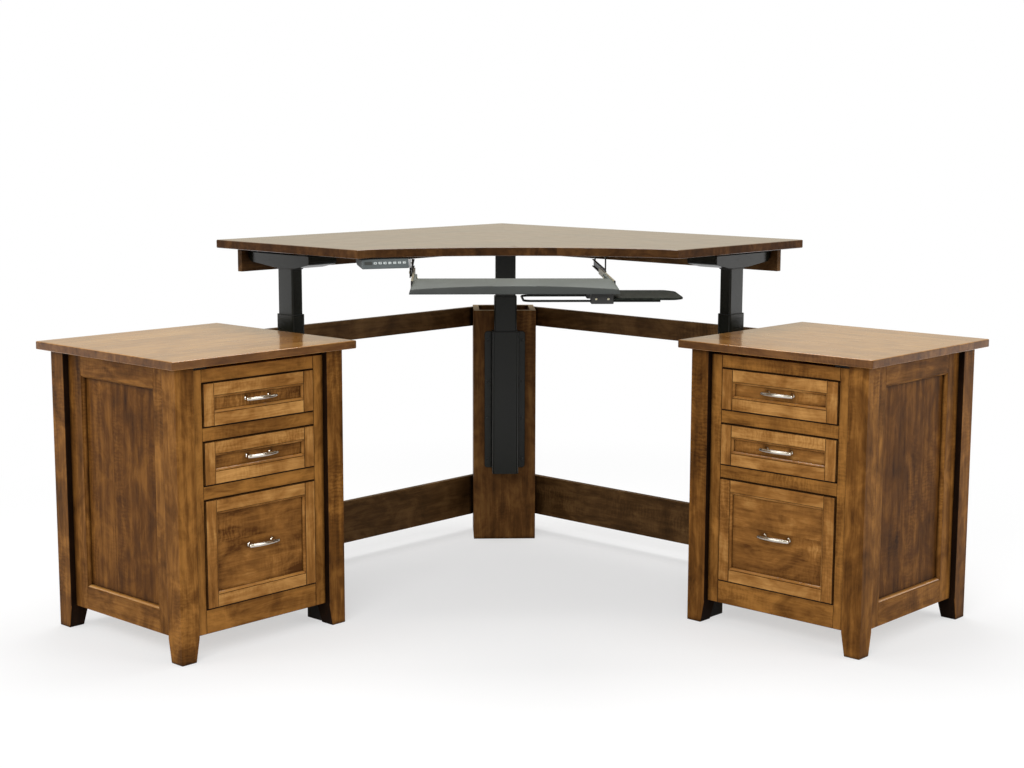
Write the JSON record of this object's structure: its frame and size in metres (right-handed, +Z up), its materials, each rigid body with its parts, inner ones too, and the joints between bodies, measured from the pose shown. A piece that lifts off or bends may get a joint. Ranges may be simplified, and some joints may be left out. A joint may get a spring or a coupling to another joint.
{
  "type": "corner standing desk",
  "caption": "Corner desk with an electrically raised angled top on telescopic columns, a pull-out keyboard tray and a drawer pedestal beside each wing.",
  "frame": {"origin": "on the floor, under the middle of the whole desk's box", "axes": "+X to the right along the desk's width, +Y away from the user towards the back corner, +Z up"},
  "size_m": [2.5868, 1.7224, 1.027],
  "materials": {
    "stained_maple_top": "semi-gloss lacquer",
    "stained_maple_case": "satin lacquer",
    "stained_maple_frame": "satin lacquer",
    "stained_maple_drawer": "satin lacquer",
    "drawer_wood": "clear lacquer",
    "black_steel": "fine-textured powder coat",
    "zinc_steel": "zinc plated",
    "polished_nickel": "polished",
    "grey_plastic": "fine texture",
    "keypad_plastic": "fine texture",
    "white_plastic": "smooth",
    "black_plastic": "fine texture",
    "black_laminate": "satin",
    "black_foot": "matte",
    "motor_steel": "satin"
  },
  "bodies": {
    "base": {"corner_post": "stained_maple_case", "left_upper_stretcher": "stained_maple_frame", "right_upper_stretcher": "stained_maple_frame", "left_lower_stretcher": "stained_maple_frame", "right_lower_stretcher": "stained_maple_frame", "left_end_post": "stained_maple_case", "right_end_post": "stained_maple_case", "column_channels": "black_steel", "left_outer_tube": "black_steel", "centre_outer_tube": "black_steel", "right_outer_tube": "black_steel", "left_pedestal_top": "stained_maple_top", "right_pedestal_top": "stained_maple_top", "left_pedestal_legs": "stained_maple_case", "right_pedestal_legs": "stained_maple_case", "left_pedestal_panels": "stained_maple_case", "right_pedestal_panels": "stained_maple_case", "left_face_frame": "stained_maple_case", "right_face_frame": "stained_maple_case", "pedestal_floors": "drawer_wood", "drawer_runners": "zinc_steel", "pedestal_blocks": "black_foot"},
    "middle_stage": {"middle_tubes": "black_steel"},
    "rising_top": {"left_inner_tube": "black_steel", "centre_inner_tube": "black_steel", "right_inner_tube": "black_steel", "left_motor_housing": "black_steel", "centre_motor_housing": "black_steel", "right_motor_housing": "black_steel", "housing_spacers": "black_plastic", "drive_motors": "motor_steel", "desktop": "stained_maple_top", "aprons": "stained_maple_frame", "control_box": "black_plastic", "keypad_case": "keypad_plastic", "tray_hangers": "black_steel"},
    "button_1": {"keypad_button_1": "white_plastic"},
    "button_2": {"keypad_button_2": "white_plastic"},
    "button_3": {"keypad_button_3": "white_plastic"},
    "button_4": {"keypad_button_4": "white_plastic"},
    "button_5": {"keypad_button_5": "white_plastic"},
    "button_6": {"keypad_button_6": "white_plastic"},
    "button_7": {"keypad_button_7": "white_plastic"},
    "tray": {"keyboard_tray": "grey_plastic", "tray_slides": "zinc_steel", "rod_guide": "black_plastic"},
    "platform": {"platform_rod": "black_steel", "mouse_platform": "black_laminate"},
    "left_top": {"left_top_drawer": "stained_maple_drawer", "left_top_handle": "polished_nickel"},
    "left_middle": {"left_middle_drawer": "stained_maple_drawer", "left_middle_handle": "polished_nickel"},
    "left_bottom": {"left_bottom_drawer": "stained_maple_drawer", "left_bottom_handle": "polished_nickel"},
    "right_top": {"right_top_drawer": "stained_maple_drawer", "right_top_handle": "polished_nickel"},
    "right_middle": {"right_middle_drawer": "stained_maple_drawer", "right_middle_handle": "polished_nickel"},
    "right_bottom": {"right_bottom_drawer": "stained_maple_drawer", "right_bottom_handle": "polished_nickel"}
  },
  "joints": [
    {"name": "lift", "type": "slide", "parent": "base", "child": "rising_top", "axis": [0, 0, 1], "range_m": [-0.198, 0.257]},
    {"name": "middle_lift", "type": "slide", "parent": "base", "child": "middle_stage", "axis": [0, 0, 1], "range_m": [-0.1, 0.129]},
    {"name": "press_button_1", "type": "slide", "parent": "rising_top", "child": "button_1", "axis": [-0.3318, 0.9201, -0.2079], "range_m": [0, 0.001], "stiffness_N_per_m": 300, "springref_m": -0.0003},
    {"name": "press_button_2", "type": "slide", "parent": "rising_top", "child": "button_2", "axis": [-0.3318, 0.9201, -0.2079], "range_m": [0, 0.001], "stiffness_N_per_m": 300, "springref_m": -0.0003},
    {"name": "press_button_3", "type": "slide", "parent": "rising_top", "child": "button_3", "axis": [-0.3318, 0.9201, -0.2079], "range_m": [0, 0.001], "stiffness_N_per_m": 300, "springref_m": -0.0003},
    {"name": "press_button_4", "type": "slide", "parent": "rising_top", "child": "button_4", "axis": [-0.3318, 0.9201, -0.2079], "range_m": [0, 0.001], "stiffness_N_per_m": 300, "springref_m": -0.0003},
    {"name": "press_button_5", "type": "slide", "parent": "rising_top", "child": "button_5", "axis": [-0.3318, 0.9201, -0.2079], "range_m": [0, 0.001], "stiffness_N_per_m": 300, "springref_m": -0.0003},
    {"name": "press_button_6", "type": "slide", "parent": "rising_top", "child": "button_6", "axis": [-0.3318, 0.9201, -0.2079], "range_m": [0, 0.001], "stiffness_N_per_m": 300, "springref_m": -0.0003},
    {"name": "press_button_7", "type": "slide", "parent": "rising_top", "child": "button_7", "axis": [-0.3318, 0.9201, -0.2079], "range_m": [0, 0.001], "stiffness_N_per_m": 300, "springref_m": -0.0003},
    {"name": "tray_slide", "type": "slide", "parent": "rising_top", "child": "tray", "axis": [0, -1, 0], "range_m": [-0.34, 0]},
    {"name": "platform_slide", "type": "slide", "parent": "tray", "child": "platform", "axis": [1, 0, 0], "range_m": [0, 0.15]},
    {"name": "left_top_drawer_slide", "type": "slide", "parent": "base", "child": "left_top", "axis": [0.7071, -0.7071, 0], "range_m": [0, 0.4]},
    {"name": "left_middle_drawer_slide", "type": "slide", "parent": "base", "child": "left_middle", "axis": [0.7071, -0.7071, 0], "range_m": [0, 0.4]},
    {"name": "left_bottom_drawer_slide", "type": "slide", "parent": "base", "child": "left_bottom", "axis": [0.7071, -0.7071, 0], "range_m": [0, 0.4]},
    {"name": "right_top_drawer_slide", "type": "slide", "parent": "base", "child": "right_top", "axis": [-0.7071, -0.7071, 0], "range_m": [0, 0.4]},
    {"name": "right_middle_drawer_slide", "type": "slide", "parent": "base", "child": "right_middle", "axis": [-0.7071, -0.7071, 0], "range_m": [0, 0.4]},
    {"name": "right_bottom_drawer_slide", "type": "slide", "parent": "base", "child": "right_bottom", "axis": [-0.7071, -0.7071, 0], "range_m": [0, 0.4]}
  ],
  "couplings": [
    {"joint": "middle_lift", "follows": "lift", "ratio": 0.5}
  ]
}
